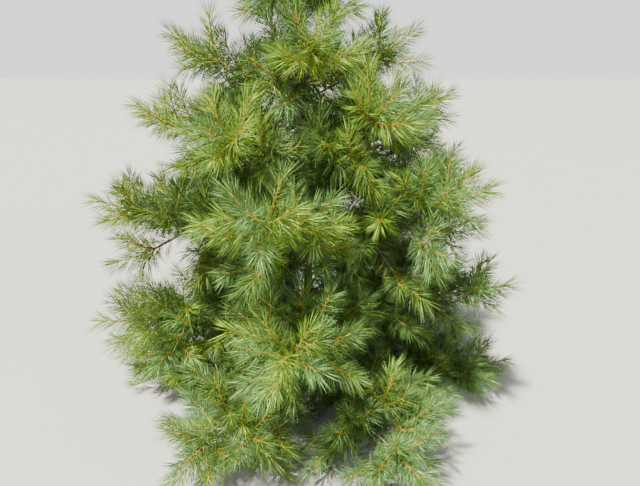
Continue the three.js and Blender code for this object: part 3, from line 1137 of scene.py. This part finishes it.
def mottle_group():
    """Shared shader group: soft patches and fine grain, put out as a mask and a height"""
    net = new_net("Mottling", "ShaderNodeTree", {
        "Patch scale": "Float", "Grain scale": "Float", "Stretch": "Float"},
        {"Mask": "Float", "Height": "Float"})
    sockets = net.node("NodeGroupInput").outputs
    place = net.output("ShaderNodeTexCoord", None, "Object")
    stretch = net.output("ShaderNodeCombineXYZ", {"X": 1.0, "Y": 1.0, "Z": sockets["Stretch"]})
    drawn = net.output("ShaderNodeVectorMath", {0: place, 1: stretch}, operation="MULTIPLY")

    def noise(scale, detail, roughness):
        return net.output("ShaderNodeTexNoise", {
            "Vector": drawn, "Scale": sockets[scale], "Detail": detail, "Roughness": roughness})

    patches = noise("Patch scale", *PATCH_NOISE)
    grain = noise("Grain scale", *GRAIN_NOISE)
    both = net.add(net.times(patches, PATCH_SHARE), net.times(grain, 1 - PATCH_SHARE))
    mask = net.output("ShaderNodeMapRange", {0: both, 1: MASK_START, 2: MASK_END})
    net.node("NodeGroupOutput", {"Mask": mask, "Height": grain})
    return net.tree


def start_material(name, roughness):
    """A new material and its shader"""
    material = bpy.data.materials.new(name)
    material.use_nodes = True
    shader = material.node_tree.nodes["Principled BSDF"]
    shader.inputs["Roughness"].default_value = roughness
    return material, shader


def new_material(name, group, surface, pale, dark):
    """A surface that mottles between two colours, with a fine bump"""
    material, shader = start_material(name, surface.roughness)
    net = Net(material.node_tree)
    mottling = net.node("ShaderNodeGroup", {
        "Patch scale": surface.patches, "Grain scale": surface.grain, "Stretch": surface.stretch},
        node_tree=group).outputs
    colour = net.output("ShaderNodeMix", {
        0: mottling["Mask"], 6: (*dark, 1), 7: (*pale, 1)}, 2, data_type="RGBA")
    bump = net.output("ShaderNodeBump", {
        "Height": mottling["Height"], "Strength": surface.bump, "Distance": surface.depth})
    net.tree.links.new(colour, shader.inputs["Base Color"])
    net.tree.links.new(bump, shader.inputs["Normal"])
    shader.inputs["Specular IOR Level"].default_value = surface.gloss
    material.diffuse_color = (*pale, 1)
    return material


def shade(colour, factor):
    return tuple(channel * factor for channel in colour)


# Operators

class PINE_OT_materials(bpy.types.Operator):
    """Make the materials of the bark, shoots, buds and needles"""
    bl_idname = "pine.materials"
    bl_label = "Materials"

    def execute(self, context):
        colours = context.scene.pine_colours
        group = mottle_group()
        MATERIALS["bark"] = new_material("bark", group, BARK_SURFACE, colours.bark_pale, colours.bark_dark)
        for name, (surface, dark) in SKINS.items():
            colour = getattr(colours, name)
            MATERIALS[name] = new_material(name, group, surface, colour, shade(colour, dark))
        for name in TINTS:
            pale, dark = [shade(getattr(colours, name), factor) for factor in NEEDLE_SHADES]
            MATERIALS[name] = new_material(f"needles_{name}", group, NEEDLE_SURFACE, pale, dark)
        return {"FINISHED"}


class PINE_OT_growth(bpy.types.Operator):
    """Grow the limbs and twigs by the seeded rule"""
    bl_idname = "pine.growth"
    bl_label = "Growth"

    def execute(self, context):
        Growth.crown = Crown()
        Growth.twigs = grow_twigs(Growth.crown)
        if not Growth.twigs:
            raise RuntimeError("no twig grew")
        return {"FINISHED"}


class PINE_OT_trunk(bpy.types.Operator):
    """Build the trunk with its bark's relief, swollen at each ring of boughs"""
    bl_idname = "pine.trunk"
    bl_label = "Trunk"

    def execute(self, context):
        heights = [TRUNK_HEIGHT * (ring / TRUNK_RINGS) ** RING_CURVE for ring in range(TRUNK_RINGS + 1)]
        points = [trunk_axis(height) for height in heights]
        radii = [trunk_radius(height) for height in heights]
        relief = trunk_relief(heights, context.scene.pine_sizes.bark_relief)
        # The foot stays a flat cut: every ring lies level
        parts = MeshParts()
        parts.add(*tube(points, [UP] * len(points), radii, TRUNK_SIDES, relief))
        parts.add_piece("trunk_bark", "bark", ["trunk"])
        return {"FINISHED"}


class PINE_OT_boughs(bpy.types.Operator):
    """Build each main limb from inside the trunk to last year's growth"""
    bl_idname = "pine.boughs"
    bl_label = "Boughs"

    def execute(self, context):
        shoot_radius = context.scene.pine_sizes.shoot_radius
        parts = MeshParts()
        for limb in Growth.crown.limbs:
            end = 1 - YEAR_LENGTH * BOUGH_END / limb.path.length
            count = int(limb.path.length * end / BOUGH_STEP)
            shares = [end * index / count for index in range(count + 1)]
            tip_radius = twig_radius(limb.path.length * (1 - end), shoot_radius)
            radii = []
            for share in shares:
                own_radius = limb.root_radius * (1 - LIMB_TAPER * share)
                radius = mix(own_radius, tip_radius, (share / end) ** 2)
                collar = math.exp(-(share * limb.path.length / COLLAR_LENGTH) ** 2)
                radii.append(radius + COLLAR_DEPTH * limb.root_radius * collar)
            phase = Draws(BOUGH_SEED + limb.number)(*PHASES)
            parts.add(*tube_along(limb.path, shares, radii, BOUGH_SIDES, bough_relief(radii, phase)))
        parts.add_piece("bough_bark", "bark", [f"bough_{limb.name}" for limb in Growth.crown.boughs])
        return {"FINISHED"}


class PINE_OT_twigs(bpy.types.Operator):
    """Build the older twigs and this year's shoots"""
    bl_idname = "pine.twigs"
    bl_label = "Twigs and shoots"

    def execute(self, context):
        shoot_radius = context.scene.pine_sizes.shoot_radius
        older = MeshParts()
        shoots = MeshParts()
        for twig in Growth.twigs:
            path = twig.path
            year = min(YEAR_LENGTH, twig.length)
            bend = 1 - year / path.length
            if twig.order > 0 and twig.length > year * LEAST_OLDER:
                older.add(*twig_tube(path, twig.start_share, bend + OVERLAP, shoot_radius))
            shoots.add(*twig_tube(path, bend, 1, shoot_radius))
        older.add_piece("twig_bark", "bark")
        shoots.add_piece("shoots", "shoot")
        return {"FINISHED"}


class PINE_OT_needles(bpy.types.Operator):
    """Stand the needle bundles and their sheaths along the shoots"""
    bl_idname = "pine.needles"
    bl_label = "Needles"

    def execute(self, context):
        sizes = context.scene.pine_sizes
        needles = [MATERIALS[name] for name in TINTS]
        sheath = MATERIALS["sheath"]
        shapes = [bundle_mesh(sizes, number) for number in range(BUNDLE_SHAPES)]
        bundles = shape_collection("bundles", shapes, needles[0])
        sheaths = shape_collection("sheaths", [sheath_mesh(sizes)], sheath)
        needle_tree = spray_tree(needles)
        sheath_tree = spray_tree([sheath])
        sheath_meshes = []
        for number, (limbs, stretches) in enumerate(needle_batches(sizes.bundle_spacing)):
            values = {"Shapes": bundles, "Spacing": sizes.bundle_spacing, "Droop": sizes.needle_droop,
                      "Lean spread": LEAN_SPREAD, "Seed": number}
            mesh = run_tree(stretch_mesh(stretches), needle_tree, values)
            nodes = [f"needles_{limb.name}" for limb in limbs]
            add_piece(mesh, f"needle_sprays_{number + 1}", nodes)
            values["Shapes"] = sheaths
            sheath_meshes.append(run_tree(stretch_mesh(stretches, sheaths=True), sheath_tree, values))
        for number, mesh in enumerate(sheath_meshes):
            add_piece(mesh, f"needle_sheaths_{number + 1}")
        remove_collection(bundles)
        remove_collection(sheaths)
        return {"FINISHED"}


class PINE_OT_buds(bpy.types.Operator):
    """Stand a pointed bud on the tip of every shoot"""
    bl_idname = "pine.buds"
    bl_label = "Buds"

    def execute(self, context):
        bud = MATERIALS["bud"]
        shapes = shape_collection("bud_shapes", [bud_mesh(context.scene.pine_sizes.bud_length)], bud)
        tips = bpy.data.meshes.new("tips")
        tips.from_pydata([tuple(twig.path.points[-1]) for twig in Growth.twigs], [], [])
        headings = np.array([twig.path.headings[-1] for twig in Growth.twigs])
        set_attribute(tips, "heading", "FLOAT_VECTOR", headings.ravel())
        values = {"Shapes": shapes, "Size spread": BUD_SIZE_SPREAD, "Seed": BUD_SEED}
        add_piece(run_tree(tips, bud_tree(bud), values), "buds")
        remove_collection(shapes)
        return {"FINISHED"}


# Stage

FLOOR_REACH = 60
FLOOR_ROUGHNESS = 0.9
SENSOR_WIDTH = 36
VIEW_REACH = 200
AIM_HEIGHT = 1.0

# Colour and strength of what lights the tree from all round, and of what the camera sees behind it
ALL_ROUND = ((0.95, 0.97, 1.0, 1), 0.34)
BACKDROP = ((1.0, 0.99, 0.96, 1), 1.6)

# Lamps: place, width in degrees, strength and colour
LAMPS = {
    "key": ((-1.6, -1.8, 5.2), 4, 14.3, (1.0, 0.97, 0.86)),
    "fill": ((3.4, -2.4, 1.8), 40, 2.4, (0.92, 0.96, 1.0)),
}


class PINE_OT_stage(bpy.types.Operator):
    """Lay the floor and set the lights and the photograph's camera"""
    bl_idname = "pine.stage"
    bl_label = "Stage"

    def execute(self, context):
        stage = context.scene.pine_stage
        self.lay_floor(stage.floor)
        self.light_world(context.scene)
        for name, lamp in LAMPS.items():
            self.add_lamp(name, *lamp)
        camera = bpy.data.cameras.new("camera")
        camera.lens = stage.lens
        camera.sensor_width = SENSOR_WIDTH
        camera.sensor_fit = "HORIZONTAL"
        camera.clip_end = VIEW_REACH
        viewer = add_object("camera", camera)
        viewer.location = (stage.eye_aside, -stage.eye_distance, stage.eye_height)
        viewer.rotation_euler = (math.pi / 2 - stage.tilt, 0, 0)
        context.scene.camera = viewer
        return {"FINISHED"}

    @staticmethod
    def lay_floor(colour):
        mesh = bpy.data.meshes.new("floor")
        reach = FLOOR_REACH
        corners = [(-reach, -reach, 0), (reach, -reach, 0), (reach, reach, 0), (-reach, reach, 0)]
        mesh.from_pydata(corners, [], [(0, 1, 2, 3)])
        floor = add_object("floor", mesh)
        material, shader = start_material("floor", FLOOR_ROUGHNESS)
        shader.inputs["Base Color"].default_value = (*colour, 1)
        mesh.materials.append(material)

    @staticmethod
    def light_world(scene):
        world = bpy.data.worlds.new("studio")
        world.use_nodes = True
        world.node_tree.nodes.clear()
        net = Net(world.node_tree)
        light, backdrop = [
            net.output("ShaderNodeBackground", {"Color": colour, "Strength": strength})
            for colour, strength in (ALL_ROUND, BACKDROP)]
        seen = net.output("ShaderNodeLightPath", None, "Is Camera Ray")
        both = net.output("ShaderNodeMixShader", {0: seen, 1: light, 2: backdrop})
        net.node("ShaderNodeOutputWorld", {"Surface": both})
        scene.world = world

    @staticmethod
    def add_lamp(name, place, width, strength, colour):
        """A soft light from a long way off, towards the middle of the tree"""
        light = bpy.data.lights.new(name, "SUN")
        light.angle = math.radians(width)
        light.energy = strength
        light.color = colour
        lamp = add_object(name, light)
        lamp.location = place
        aim = Vector((0, 0, AIM_HEIGHT)) - Vector(place)
        lamp.rotation_euler = aim.to_track_quat("-Z", "Y").to_euler()


class PINE_PT_panel(bpy.types.Panel):
    """The pine's steps and settings"""
    bl_idname = "PINE_PT_panel"
    bl_label = "Young Soft Pine"
    bl_space_type = "VIEW_3D"
    bl_region_type = "UI"
    bl_category = "Pine"

    def draw(self, context):
        for step in STEPS:
            self.layout.operator(step.bl_idname)
        for name, group in GROUPS.items():
            for setting in group.__annotations__:
                self.layout.prop(getattr(context.scene, name), setting)


STEPS = (PINE_OT_materials, PINE_OT_growth, PINE_OT_trunk, PINE_OT_boughs, PINE_OT_twigs,
         PINE_OT_needles, PINE_OT_buds, PINE_OT_stage)
GROUPS = {"pine_sizes": PineSizes, "pine_colours": PineColours, "pine_stage": PineStage}


def register():
    for name, group in GROUPS.items():
        bpy.utils.register_class(group)
        setattr(bpy.types.Scene, name, bpy.props.PointerProperty(type=group))
    for step in STEPS:
        bpy.utils.register_class(step)
    bpy.utils.register_class(PINE_PT_panel)


def unregister():
    bpy.utils.unregister_class(PINE_PT_panel)
    for step in reversed(STEPS):
        bpy.utils.unregister_class(step)
    for name, group in GROUPS.items():
        delattr(bpy.types.Scene, name)
        bpy.utils.unregister_class(group)


def main():
    register()
    bpy.ops.pine.materials()
    bpy.ops.pine.growth()
    bpy.ops.pine.trunk()
    bpy.ops.pine.boughs()
    bpy.ops.pine.twigs()
    bpy.ops.pine.needles()
    bpy.ops.pine.buds()
    bpy.ops.pine.stage()


if __name__ == "__main__":
    main()
